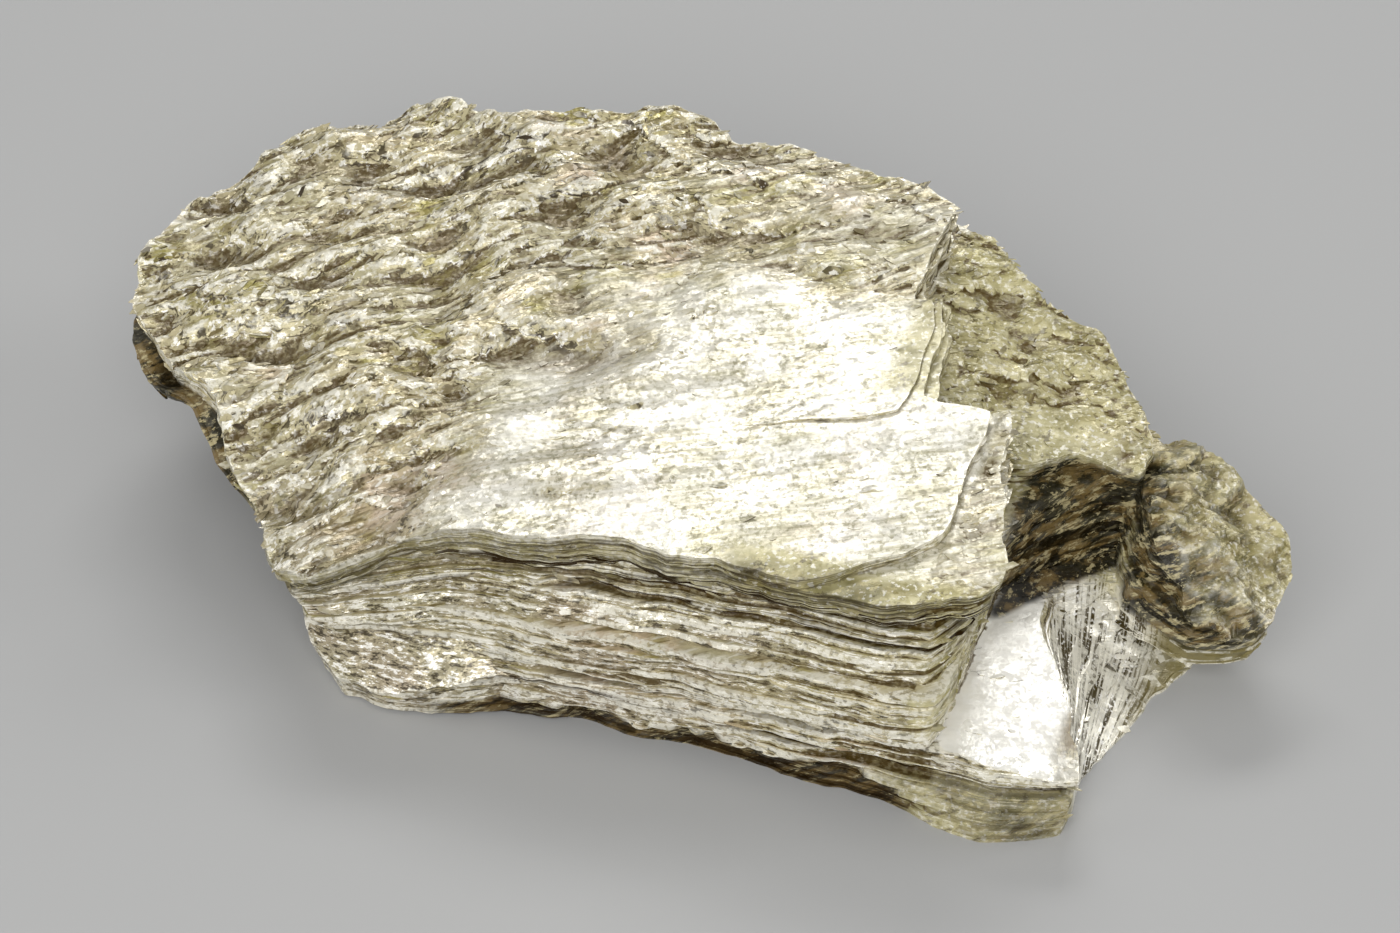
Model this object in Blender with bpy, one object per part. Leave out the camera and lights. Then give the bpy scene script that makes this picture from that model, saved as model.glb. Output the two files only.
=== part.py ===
"""A hand specimen of muscovite: one mica crystal, a book of thin cleavage sheets.

The crystal lies on a flat cleavage face at z = 0. Its sheets fan out a little from that
face, so every sheet follows one curved surface, cleavage_height(), at its own share of
the book's full height. Groups of sheets that broke off together are modelled as books,
each with a stepped side, and all of them are joined into one solid.
Outlines run anticlockwise seen from above. Lengths are millimetres until MM scales them.
"""

import math
import random

import bmesh
import bpy
from mathutils import Vector, noise
from mathutils.geometry import delaunay_2d_cdt

MM = 0.001
NAME = "mica_crystal"

# Driving dimensions of the cleavage surface
FRONT_HEIGHT = 17.7  # height of the top sheet at the middle of the laminated front
FRONT_Y = -20.0
RISE_RIGHT = 0.083  # millimetres of rise for each millimetre towards +X
RISE_BACK = 0.12  # and towards +Y
CORNER = (-31.0, -22.0)  # the front left corner, where the sheets bend down
CORNER_DROP = 4.5
CORNER_REACH = 10.0

# Mesh sizes
SIDE_STEP = 3.6  # spacing of the points along a broken side
CELL = 3.9  # spacing of the points on a cleavage face
EMBED = 2.0  # how far a thin sheet reaches down into the one below

# Shares of the full height where each group of sheets begins and ends
BASE = (0.0, 0.345)
MIDDLE = (0.265, 0.60)
UPPER = (0.52, 0.87)
CROWN = (0.81, 0.97)
SHOULDER = (0.50, 0.84)
LOBE = (0.18, 0.62)
NODULE = (0.02, 0.40)

BASE_BROW = [
    (-20, -21), (-13, -22.5), (-2, -22.5), (10, -22.5), (24, -22.3), (33, -21.8), (39.9, -20.8),
    (35.5, -12), (32.5, -4), (36, 1), (41, 5), (40, 11), (31, 19), (19, 24), (4, 26), (-10, 26),
    (-22, 22), (-28, 11), (-27, -2), (-24, -13),
]
BASE_FOOT = [
    (-17, -20), (-12, -22), (-2, -21.5), (10, -21.5), (24, -22.3), (33, -23.6), (39, -20.8),
    (38.2, -13), (39.2, -8), (40.6, -3), (42.2, 3.5), (39, 9.5), (30, 16), (18, 22), (4, 24),
    (-10, 24), (-20, 20), (-25, 10), (-24, -2), (-20, -12),
]
MIDDLE_BROW = [
    (-43, 6), (-40, -3), (-34, -9), (-29.5, -16), (-25, -23), (-16, -22.6), (-5, -22.3),
    (8, -22), (20, -21.8), (26.5, -20), (28, -12), (27.3, -3), (29, 2.5), (33, 6.5), (38, 8.5),
    (38, 12), (31, 19.5), (20, 24.5), (4, 28.5), (-12, 30), (-28, 28.5), (-38, 24), (-43, 15),
]
MIDDLE_FOOT = [
    (-35, 6), (-32, -3), (-29, -8), (-26.5, -15), (-24, -23), (-16, -23.2), (-5, -22.8),
    (8, -22.6), (20, -22.4), (26.6, -21.2), (27.2, -12), (27.2, -2), (29.5, 1.5), (33.5, 5.5),
    (38, 7.5), (38, 11.5), (30, 18.5), (19, 23), (4, 26.5), (-12, 28), (-25, 26), (-33, 21),
    (-36, 14),
]
UPPER_BROW = [
    (-54.5, 7), (-52.5, 0.5), (-47.5, -5), (-41, -8), (-37, -13), (-32, -18), (-28, -22.5),
    (-21, -21.6), (-15, -19.8), (-6, -18.8), (6, -18.4), (18, -18.4), (24.5, -18.2), (28.4, -14.8),
    (27.8, -8), (27, 0), (25.5, 2.5), (19, 2), (17.5, 14), (14, 16.5), (13.5, 26.8), (4, 30),
    (-8, 32.8), (-19, 33.6), (-29, 31), (-39, 31.8), (-46, 27.5), (-52, 20), (-55, 13),
]
UPPER_FOOT = [
    (-44, 6), (-42.5, 0), (-40, -4.5), (-36.5, -8.5), (-33, -13), (-29, -18.5), (-25.5, -23.6),
    (-20, -23.4), (-14.5, -22.2), (-6, -21.8), (6, -21.6), (18, -21.4), (25, -20.6), (27.5, -14.5),
    (27.2, -8), (26.8, 0), (25.5, 2.5), (19, 2), (17.5, 14), (14, 16.5), (13.5, 26), (4, 28.5),
    (-8, 31), (-19, 31.5), (-28, 29.5), (-36, 29), (-41, 25), (-43.5, 18), (-44.5, 12),
]
CROWN_BROW = [
    (-56.7, 6), (-54.5, 1), (-50, -4), (-45.5, -8), (-40.5, -9.5), (-37.5, -14), (-33, -18.5),
    (-29.5, -22.5), (-25, -24.5), (-20, -22.3), (-15, -20.6), (-6, -20), (6, -19.8), (18, -19.8),
    (25, -19.5), (30.6, -15.3), (29.2, -9), (28.3, -5), (27.3, 1), (26, 3.5), (20, 2.5), (19, 10),
    (17.5, 15), (15, 17), (14.6, 28), (10.8, 30.3), (4.8, 31.8), (-4, 34.4), (-8.6, 34.3),
    (-13, 36.2), (-19, 35.4), (-29.5, 32.3), (-39.2, 33.5), (-43, 32), (-50, 26), (-52.5, 21),
    (-55, 16), (-56.6, 11),
]
SHOULDER_BROW = [
    (10, 4), (18, 1), (26.8, 3.6), (31, 7.6), (36.6, 7), (37.2, 10.2), (34.6, 15.2), (31.6, 19.6),
    (28.8, 22.4), (22.8, 24.4), (19.5, 25.8), (17.4, 29), (13.5, 31), (10, 29),
]
LOBE_BROW = [
    (34, 9), (38, 4), (41, -1), (45, -3.6), (48.4, -2.6), (50.2, 0.5), (49.6, 4.6), (46.2, 8),
    (42.6, 11.6), (38, 13.4), (34, 13),
]
LOBE_FOOT = [
    (36, 10), (39, 6), (42, 2), (45, 0), (47, 1), (48, 3), (47.4, 5.4), (45, 7.6), (42, 10.4),
    (38, 12.2), (35, 12),
]
NODULE_BROW = [
    (-27, -22), (-24.5, -26.3), (-20, -28.3), (-15.5, -26.5), (-12.5, -23), (-14, -18), (-22, -16),
]
NODULE_FOOT = [
    (-25.5, -21), (-23.5, -24), (-19.5, -26), (-15.5, -25), (-13, -22.5), (-14, -18), (-21, -16),
]
COVER_OUTLINE = [
    (-55, 9), (-53, 2), (-47, -4.5), (-41, -8), (-36, -14), (-30, -20), (-25, -23), (-16, -20),
    (-5, -19.2), (8, -19), (16, -19.2), (25, -12.5), (24.8, -5), (24.4, 1.7), (18.6, 2.8),
    (17.6, 10), (16.5, 14.4), (13.8, 15.5), (13.6, 27.3), (3, 31), (-8, 33.4), (-18, 34.6),
    (-28, 31.2), (-38, 32.4), (-45, 29), (-51, 22), (-54.5, 15),
]
PATCH_OUTLINE = [
    (-20.5, -1.5), (-17.5, -8), (-14.5, -10.2), (-8.8, -9.6), (-3, -5.5), (8, -3.2), (17.3, 0.3),
    (17.2, 9.9), (16, 14.4), (8, 14.8), (-1, 15.6), (-9.5, 11.5), (-13.5, 6.5), (-18, 2.5),
]

# Leaf-like remnants of sheets on the crumpled part: x, y, length, width, turn in degrees
SCALES = [
    (-31, 13.5, 15, 11, 60), (-47, 14, 17, 8, 38), (-41, 2, 17, 9, 26), (-27, 0, 15, 8, -12),
    (-27, -13, 15, 8, 8), (-13, 23, 18, 9, 24), (3, 23, 17, 8, 6), (-42, 26, 16, 8, 34),
    (-13, -14, 13, 6, 4),
]
SCALE_POINTS = 9
SCALE_TILT = 0.16  # how fast a remnant sinks away behind its raised edge


def cleavage_height(x, y):
    """Height of the topmost cleavage surface over the plan."""
    height = FRONT_HEIGHT + RISE_RIGHT * x + RISE_BACK * (y - FRONT_Y)
    away = math.hypot(x - CORNER[0], y - CORNER[1]) / CORNER_REACH
    return height - CORNER_DROP * math.exp(-(away**2))


def relief(x, y):
    """Crumpling of the cleavage faces: strong on the left, weak on the smooth right half."""
    rough = min(1.0, max(0.2, (12.0 - x) / 34.0))
    folds = noise.noise(Vector(((x + y) / 26.0, (y - 0.45 * x) / 6.5, 3.1)))
    lumps = noise.noise(Vector((x / 8.0, y / 6.5, 8.4)))
    return rough * (1.9 * folds + 1.2 * lumps)


def inset(outline, distance):
    """An outline drawn in by a distance, square to each of its corners."""
    corners = [Vector(p) for p in outline]
    return [p - outward(corners, i) * distance for i, p in enumerate(corners)]


def outward(loop, i):
    """The direction out of a closed outline at one of its points."""
    along = loop[(i + 1) % len(loop)] - loop[i - 1]
    return Vector((along.y, -along.x)).normalized()


def broken(brow, foot, seed, roughness):
    """Both edges of a book's side, with points every SIDE_STEP, and roughened alike."""
    brows, feet = [], []
    for i in range(len(brow)):
        j = (i + 1) % len(brow)
        high_start, high_end = Vector(brow[i]), Vector(brow[j])
        low_start, low_end = Vector(foot[i]), Vector(foot[j])
        along = (high_end - high_start).normalized()
        steps = max(1, round((high_end - high_start).length / SIDE_STEP))
        for k in range(steps):
            at = high_start.lerp(high_end, k / steps)
            jag = roughness * noise.noise(Vector((at.x / 4.0, at.y / 4.0, seed)))
            jag *= Vector((along.y, -along.x))
            brows.append(at + jag)
            feet.append(low_start.lerp(low_end, k / steps) + jag)
    return brows, feet


def inside(p, loop):
    """True if a point lies inside a closed outline."""
    found = False
    for a, b in zip(loop, loop[1:] + loop[:1]):
        if (a.y > p.y) != (b.y > p.y) and p.x < a.x + (b.x - a.x) * (p.y - a.y) / (b.y - a.y):
            found = not found
    return found


def filled(loop, cell):
    """The triangles that fill an outline: their points, the outline's own first, and faces."""
    row_step = cell * math.sin(math.radians(60))
    first = math.floor(min(p.y for p in loop) / row_step)
    last = math.ceil(max(p.y for p in loop) / row_step)
    left = math.floor(min(p.x for p in loop) / cell)
    right = math.ceil(max(p.x for p in loop) / cell)
    points = list(loop)
    for row in range(first, last + 1):
        for column in range(left, right + 1):
            p = Vector((cell * (column + 0.5 * (row % 2)), row_step * row))
            if inside(p, loop) and min((p - q).length for q in loop) > 0.6 * cell:
                points.append(p)
    made = delaunay_2d_cdt(points, [], [list(range(len(loop)))], 1, 1e-6)
    if len(made[0]) != len(points):
        raise ValueError("an outline crosses itself")
    source = [found[0] for found in made[3]]
    return points, [[source[v] for v in face] for face in made[2]]


def flat_area(corners):
    """Signed area of a polygon seen from above: positive when it runs anticlockwise."""
    pairs = zip(corners, corners[1:] + corners[:1])
    return sum(a.co.x * b.co.y - b.co.x * a.co.y for a, b in pairs) / 2


def cap(mesh, rim, points, faces, faces_up):
    """Fills the rim of a side with a cap whose first points are the rim's own."""
    verts = rim + [mesh.verts.new(p) for p in points[len(rim):]]
    for face in faces:
        corners = [verts[v] for v in face]
        if (flat_area(corners) > 0) != faces_up:
            corners.reverse()
        mesh.faces.new(corners)


def raised(name, rows, cell, fall=(0.0, 0.0), fall_from=(0.0, 0.0)):
    """A closed mesh from rows: a share of the full height, a lift above it, depth, points.

    The lowest and highest rows are capped. fall lets a row of depth 1 sink away from the
    sheet it follows, by so much for each millimetre past fall_from.
    """
    slope, start = Vector(fall), Vector(fall_from)

    def placed(points, share, lift, depth):
        found = []
        for p in points:
            z = share * (cleavage_height(p.x, p.y) + relief(p.x, p.y)) + lift
            z -= depth * max(0.0, slope.dot(p - start))
            found.append(Vector((p.x, p.y, z)))
        return found

    mesh = bmesh.new()
    rings = []
    for share, lift, depth, row in rows:
        rings.append([mesh.verts.new(p) for p in placed(row, share, lift, depth)])
    for low, high in zip(rings, rings[1:]):
        for i in range(len(low)):
            j = (i + 1) % len(low)
            mesh.faces.new((low[i], low[j], high[j], high[i]))
    for k in (0, -1):
        share, lift, depth, row = rows[k]
        points, faces = filled(row, 3 * cell if share == 0 else cell)
        cap(mesh, rings[k], placed(points, share, lift, depth), faces, k == -1)
    data = bpy.data.meshes.new(name)
    mesh.to_mesh(data)
    mesh.free()
    piece = bpy.data.objects.new(name, data)
    bpy.context.scene.collection.objects.link(piece)
    return piece


def book(name, brow, foot, span, ledges, seed, roughness=0.9, jut=0.8, **fall):
    """A group of sheets between two shares of the height, its side broken into ledges."""
    brows, feet = broken(brow, foot, seed, roughness)
    rows = []
    for k in range(ledges):
        for part in (k, k + 0.84) if k < ledges - 1 else (k, k + 1.0):
            way = part / ledges
            row = []
            for i, (low, high) in enumerate(zip(feet, brows)):
                at = low.lerp(high, way)
                push = jut * noise.noise(Vector((at.x / 11.0, at.y / 11.0, seed + 3.7 * k)))
                row.append(at + outward(brows, i) * push)
            rows.append((span[0] + (span[1] - span[0]) * way, 0.0, way, row))
    return raised(name, rows, CELL, **fall)


def sheet(name, outline, lift, seed, roughness=0.4, depth=EMBED, **fall):
    """What is left of a sheet on the crown of the book, lifted above it."""
    rim, _ = broken(outline, outline, seed, roughness)
    rows = [(CROWN[1], lift - depth, 0.0, rim), (CROWN[1], lift, 1.0, rim)]
    return raised(name, rows, CELL, **fall)


def scale(name, x, y, length, width, turn, lift, seed):
    """A leaf-like remnant: raised along its front edge, ragged, its length turned from +X."""
    ragged = random.Random(seed)
    turned = math.radians(turn)
    along = Vector((math.cos(turned), math.sin(turned)))
    across = Vector((-along.y, along.x))
    outline = []
    for k in range(SCALE_POINTS):
        angle = 2 * math.pi * k / SCALE_POINTS
        reach = ragged.uniform(0.7, 1.15) / 2
        corner = Vector((x, y)) + along * (length * reach * math.cos(angle))
        outline.append(corner + across * (width * reach * math.sin(angle)))
    edge = Vector((x, y)) - across * (width / 2)
    return sheet(
        name, outline, lift, seed, depth=2.2,
        fall=across * SCALE_TILT, fall_from=edge,
    )


def muscovite():
    """Pale silvery brown mica with a pearly surface."""
    material = bpy.data.materials.new("muscovite")
    material.use_nodes = True
    shader = material.node_tree.nodes["Principled BSDF"]
    shader.inputs["Base Color"].default_value = (0.46, 0.41, 0.28, 1)
    shader.inputs["Metallic"].default_value = 0.0
    shader.inputs["Roughness"].default_value = 0.35
    return material


def join(pieces):
    """Makes the first piece the crystal: all the others are united with it and then removed."""
    crystal = pieces[0]
    for piece in pieces[1:]:
        union = crystal.modifiers.new("with " + piece.name, "BOOLEAN")
        union.operation = "UNION"
        union.solver = "EXACT"
        union.object = piece
    graph = bpy.context.evaluated_depsgraph_get()
    joined = bpy.data.meshes.new_from_object(crystal.evaluated_get(graph))
    for piece in pieces:
        bpy.data.objects.remove(piece)
    return joined


def centred(data):
    """Scales a mesh to metres, with its origin below its middle, on the face it rests on."""
    for axis in (0, 1):
        values = [v.co[axis] for v in data.vertices]
        middle = (min(values) + max(values)) / 2
        for v in data.vertices:
            v.co[axis] -= middle
    for v in data.vertices:
        v.co *= MM


def main():
    for old in list(bpy.data.objects):
        bpy.data.objects.remove(old)
    pieces = [
        book("base", BASE_BROW, BASE_FOOT, BASE, 5, 1.3, jut=1.1),
        book("middle", MIDDLE_BROW, MIDDLE_FOOT, MIDDLE, 5, 5.9, jut=1.2),
        book("upper", UPPER_BROW, UPPER_FOOT, UPPER, 5, 9.2, jut=1.2),
        book("crown", CROWN_BROW, inset(CROWN_BROW, 1.1), CROWN, 3, 12.7),
        book(
            "shoulder", SHOULDER_BROW, inset(SHOULDER_BROW, 0.8), SHOULDER, 3, 15.1,
            fall=(0.2, 0), fall_from=(14, 0),
        ),
        book(
            "lobe", LOBE_BROW, LOBE_FOOT, LOBE, 4, 17.6, jut=1.1,
            fall=(0.3, 0), fall_from=(38, 0),
        ),
        book("nodule", NODULE_BROW, NODULE_FOOT, NODULE, 2, 19.3),
        sheet("cover", COVER_OUTLINE, 0.9, 21.4),
        sheet("patch", PATCH_OUTLINE, 1.5, 22.8),
    ]
    for k, (x, y, length, width, turn) in enumerate(SCALES):
        pieces.append(scale(f"scale_{k}", x, y, length, width, turn, 1.9 + 0.03 * k, k))
    data = join(pieces)
    centred(data)
    data.name = NAME
    data.materials.clear()
    data.materials.append(muscovite())
    crystal = bpy.data.objects.new(NAME, data)
    bpy.context.scene.collection.objects.link(crystal)


main()
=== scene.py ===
"""A hand specimen of muscovite on a pale studio floor.

The crystal is a book of cleavage sheets that fan out a little from the flat face it rests
on, so a sheet's height is its share of the book's full height. Shapes are worked out in
millimetres, in the plan the outlines below are drawn in, and settled into the part's frame.
"""

import math
import random

import bmesh
import bpy
import numpy as np
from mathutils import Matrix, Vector, noise


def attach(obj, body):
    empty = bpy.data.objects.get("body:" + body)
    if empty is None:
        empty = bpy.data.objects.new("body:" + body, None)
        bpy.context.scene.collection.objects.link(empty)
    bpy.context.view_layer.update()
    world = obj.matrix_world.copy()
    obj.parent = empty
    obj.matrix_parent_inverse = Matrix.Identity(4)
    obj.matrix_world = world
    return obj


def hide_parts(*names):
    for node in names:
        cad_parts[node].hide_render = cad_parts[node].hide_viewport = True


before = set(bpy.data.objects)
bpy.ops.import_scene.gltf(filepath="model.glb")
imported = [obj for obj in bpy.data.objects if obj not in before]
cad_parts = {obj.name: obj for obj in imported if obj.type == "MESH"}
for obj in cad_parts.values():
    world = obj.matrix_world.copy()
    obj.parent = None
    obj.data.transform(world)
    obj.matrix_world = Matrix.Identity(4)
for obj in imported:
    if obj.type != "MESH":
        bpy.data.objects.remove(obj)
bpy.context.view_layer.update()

MM = 0.001
NODE = "mica_crystal"
PLAN_MIDDLE = (-3.579, 4.009)  # where the part's origin lies in the plan of the outlines

# The cleavage surface
FRONT_HEIGHT = 17.7  # height of the top sheet at the middle of the laminated front
FRONT_Y = -20
RISE_RIGHT = 0.083  # millimetres of rise for each millimetre towards +X
RISE_BACK = 0.12  # and towards +Y
CORNER = (-31, -22)  # the front left corner, where the sheets bend down
CORNER_DROP = 4.5
CORNER_REACH = 10

# Detail
COARSE = 1
SIDE_STEP = 0.45 * COARSE  # spacing of the points along a broken side
SHEET = 0.36 * COARSE  # thickness of the packets of sheets that show in a side
GRID = 0.3 * COARSE  # spacing of the points on a cleavage face
UNDER_GRID = 1.2  # and on the underside of a group of sheets
HIDDEN_GRID = 0.8  # and on a face that another group covers
ROUND_OFF = 0.45  # how far an outline's corners are eased, up to 1
PACKETS = (0.4, 0.5, 0.7, 1, 2.2, 3)  # thicknesses to choose from, before they are fitted
COLUMN_PAST = 1.2  # how far a column of sheets goes on past its own sheets
BELOW_ALL, ABOVE_ALL = -20, 60  # heights where the columns end
SLAB_MARGIN = 3  # how far a slab reaches past the outline it belongs to
SHARP = math.radians(32)  # a larger angle between two faces is shaded as a hard edge
CRUMB_POINTS = 100  # a part with fewer points is a crumb
FLAKE_THICKNESS = 0.07
PLATE_SHAPES = 6

# Camera
CAMERA_TURN = math.radians(20)  # to the right of straight in front
CAMERA_TILT = math.radians(38)  # above the horizon
CAMERA_AWAY = 0.3  # metres from the point it aims at
AIM_HEIGHT = 12

# Shares of the full height where each group of sheets begins and ends
BASE = (0, 0.345)
MIDDLE = (0.265, 0.6)
UPPER = (0.52, 0.87)
CROWN = (0.81, 0.97)
SHOULDER = (0.5, 0.84)
LOBE = (0.18, 0.62)
NODULE = (0.02, 0.5)

BASE_BROW = [
    (-20, -21), (-13, -22.5), (-2, -22.5), (10, -22.5), (24, -22.3), (33, -21.8), (39.6, -20.4),
    (36.2, -13), (33.6, -8.6), (31, -4.4), (30.6, -0.6), (34.4, 3.8), (40.5, 6.6), (40, 11), (31, 19),
    (19, 24), (4, 26), (-10, 26), (-22, 22), (-28, 11), (-27, -2), (-24, -13),
]
BASE_FOOT = [
    (-17, -20), (-12, -22.8), (-2, -22.9), (10, -23), (24, -23.2), (32.5, -24), (38.2, -20.9), (38.4, -14),
    (39.6, -10), (40.8, -6.5), (42, -2), (43.4, 1.5), (43.9, 4.2), (40.4, 9.5), (30, 16), (18, 22), (4, 24),
    (-10, 24), (-20, 20), (-25, 10), (-24, -2), (-20, -12),
]
MIDDLE_BROW = [
    (-43, 6), (-40, -3), (-34, -9), (-29.5, -16), (-25, -23), (-16, -22.6), (-5, -22.3), (8, -22),
    (20, -21.8), (27, -20.8), (28, -14), (27.3, -3), (29, 2.5), (33, 6.5), (38, 8.5), (38, 12), (31, 19.5),
    (20, 24.5), (4, 28.5), (-12, 30), (-28, 28.5), (-38, 24), (-43, 15),
]
MIDDLE_FOOT = [
    (-35, 6), (-32, -3), (-29, -8), (-26.5, -15), (-24, -23), (-16, -23.2), (-5, -22.8), (8, -22.6),
    (20, -22.4), (26.8, -21.8), (27.4, -14), (27.2, -2), (29.5, 1.5), (33.5, 5.5), (38, 7.5), (38, 11.5),
    (30, 18.5), (19, 23), (4, 26.5), (-12, 28), (-25, 26), (-33, 21), (-36, 14),
]
UPPER_BROW = [
    (-55.6, 7), (-54, 0), (-49.4, -5.8), (-43, -9.2), (-38.6, -13.8), (-33, -18.6), (-28.4, -23),
    (-21, -21.6), (-15, -19.8), (-6, -18.8), (6, -18.4), (18, -18.4), (26.4, -18.6), (28.4, -15.8),
    (27.8, -8), (27, 0), (25.5, 2.5), (19, 2), (17.5, 14), (14, 16.5), (13.5, 26.8), (4, 30), (-8, 32.8),
    (-19, 33.6), (-29, 31), (-39, 31.8), (-46, 27.5), (-52, 20), (-55, 13),
]
UPPER_FOOT = [
    (-47, 6), (-45.5, 0), (-42.5, -5), (-38, -9), (-34, -13.4), (-29.6, -18.8), (-25.5, -23.6),
    (-20, -23.4), (-14.5, -22.2), (-6, -21.8), (6, -21.6), (18, -21.4), (26, -20.6), (27.7, -15.5),
    (27.2, -8), (26.8, 0), (25.5, 2.5), (19, 2), (17.5, 14), (14, 16.5), (13.5, 26), (4, 28.5), (-8, 31),
    (-19, 31.5), (-28, 29.5), (-36, 29), (-41, 25), (-43.5, 18), (-44.5, 12),
]
CROWN_BROW = [
    (-55.7, 6), (-53.7, 1), (-49.6, -4), (-45.3, -7.8), (-40.5, -9.5), (-37.5, -14), (-33, -18.5),
    (-29.5, -22.5), (-25, -24.5), (-20, -22.3), (-15, -20.6), (-6, -20), (6, -19.8), (18, -19.8),
    (25, -19.5), (30.6, -15.3), (29.2, -9), (28.3, -5), (27.3, 1), (26, 3.5), (20, 2.5), (19, 10),
    (17.5, 15), (15, 17), (14.6, 28), (10.8, 30.3), (4.8, 31.8), (-4, 34.4), (-8.6, 34.3), (-13, 36.2),
    (-19, 35.4), (-29.5, 32.3), (-39.2, 33.5), (-42.6, 31.6), (-49, 25.6), (-51.6, 20.6), (-54, 16),
    (-55.6, 11),
]
SHOULDER_BROW = [
    (10, 4), (18, 1), (26.8, 3.6), (31, 7.6), (36.6, 7), (37.2, 10.2), (34.6, 15.2), (31.6, 19.6),
    (28.8, 22.4), (22.8, 24.4), (19.5, 25.8), (17.4, 29), (13.5, 31), (10, 29),
]
LOBE_BROW = [
    (34, 9), (37.5, 4.6), (41, 0), (44.6, -2.8), (48, -2), (50.6, 1.2), (50.4, 5.4), (47.2, 8.8),
    (42.8, 12), (38, 13.6), (34, 13),
]
LOBE_FOOT = [
    (33, 10), (34.6, 4.6), (38.6, -0.4), (43.4, -2), (46.6, -0.6), (48, 2.4), (47.6, 5.4), (45, 7.8),
    (42, 10.4), (38, 12.2), (35, 12),
]
NODULE_BROW = [
    (-28.8, -19), (-27, -24), (-23.6, -26.8), (-18.8, -27.6), (-13.6, -25.8), (-9, -23.6), (-4, -22.2),
    (-4, -18), (-18, -15), (-26, -15),
]
NODULE_FOOT = [
    (-27.4, -19), (-25.6, -23), (-22.6, -25.3), (-18.4, -25.8), (-13.6, -24.6), (-9, -22.8), (-4, -21.6),
    (-4, -18), (-18, -15), (-25, -15),
]
COVER_OUTLINE = [
    (-62, 9), (-59, -3), (-51, -9.5), (-44, -14), (-40, -20), (-33, -26), (-25, -29), (-16, -25), (-5, -23),
    (8, -22), (14, -20.6), (18.5, -18.4), (25, -12.5), (24.8, -5), (24.4, 1.7), (18.6, 2.8), (17.6, 10),
    (16.5, 14.4), (13.8, 15.5), (13.6, 33), (3, 37), (-8, 40), (-18, 41), (-28, 38), (-38, 39), (-47, 36),
    (-58, 24),
]
PATCH_OUTLINE = [
    (-20.5, -1.5), (-18.5, -6.5), (-14.5, -8.6), (-8.8, -8), (-3, -5), (8, -3.2), (17.3, 0.3), (17.2, 9.9),
    (16, 14.4), (8, 14.8), (-1, 15.6), (-9.5, 11.5), (-13.5, 6.5), (-18, 2.5),
]
COVER_LIFT = 0.9
PATCH_LIFT = 1.25


def rise(x, y):
    """Height of the topmost cleavage surface, flat or bent but not crumpled."""
    height = FRONT_HEIGHT + RISE_RIGHT * x + RISE_BACK * (y - FRONT_Y)
    away = np.hypot(x - CORNER[0], y - CORNER[1]) / CORNER_REACH
    return height - CORNER_DROP * np.exp(-(away**2))


def ramp(value, low, high):
    """0 below low, 1 above high and smooth between."""
    t = np.clip((value - low) / (high - low), 0, 1)
    return t * t * (3 - 2 * t)


def waves(x, y, z=0):
    """Perlin noise, from about -1 to 1, for arrays of points."""
    x, y, z = np.broadcast_arrays(x, y, z)
    found = [noise.noise(Vector(p)) for p in zip(x.flat, y.flat, z.flat)]
    return np.array(found).reshape(x.shape)


def bumps(x, y, size, z=0):
    """Waves of one size, in millimetres, along both axes."""
    return waves(x / size, y / size, z)


def folds(x, y):
    """The large crumples of the sheets: strong on the left, weak on the right and at the front."""
    rough = np.clip((12 - x) / 34, 0.2, 1) * (0.3 + 0.7 * ramp(y, -19, -9))
    long_folds = waves((x + y) / 26, (y - 0.45 * x) / 6.5, 3.1)
    lumps = waves(x / 8, y / 6.5, 8.4)
    return rough * (1.9 * long_folds + 1.2 * lumps)


def sheet_height(x, y):
    """Height of the topmost sheet. A lower sheet has its share of it."""
    return rise(x, y) + folds(x, y)


# ---- broken sides


def resampled(brow, foot):
    """Both edges of a side with a point every step, alike in number, corners a little eased."""
    brow, foot = np.array(brow, float), np.array(foot, float)
    n = len(brow)
    rows = []
    for i in range(n):
        j = (i + 1) % n
        length = max(np.linalg.norm(brow[j] - brow[i]), np.linalg.norm(foot[j] - foot[i]))
        steps = max(1, round(length / SIDE_STEP))
        t = np.arange(steps)[:, None] / steps
        both = []
        for p in (brow, foot):
            a, b, c, d = p[i - 1], p[i], p[j], p[(i + 2) % n]
            straight = b + (c - b) * t
            curved = 0.5 * (
                2 * b + (c - a) * t + (2 * a - 5 * b + 4 * c - d) * t**2
                + (3 * b - a - 3 * c + d) * t**3
            )
            both.append(straight + (curved - straight) * ROUND_OFF)
        rows.append(np.stack(both))
    joined = np.concatenate(rows, axis=1)
    return joined[0], joined[1]


def outwards(loop, reach=3):
    """The directions out of a closed outline, eased over a few neighbours."""
    along = np.roll(loop, -reach, axis=0) - np.roll(loop, reach, axis=0)
    out = np.stack([along[:, 1], -along[:, 0]], axis=1)
    return out / np.linalg.norm(out, axis=1)[:, None]


def drawn_in(outline, amount):
    """An outline moved inwards, for the foot of a side that leans out."""
    outline = np.array(outline, float)
    return outline - outwards(outline, 1) * amount


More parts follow.
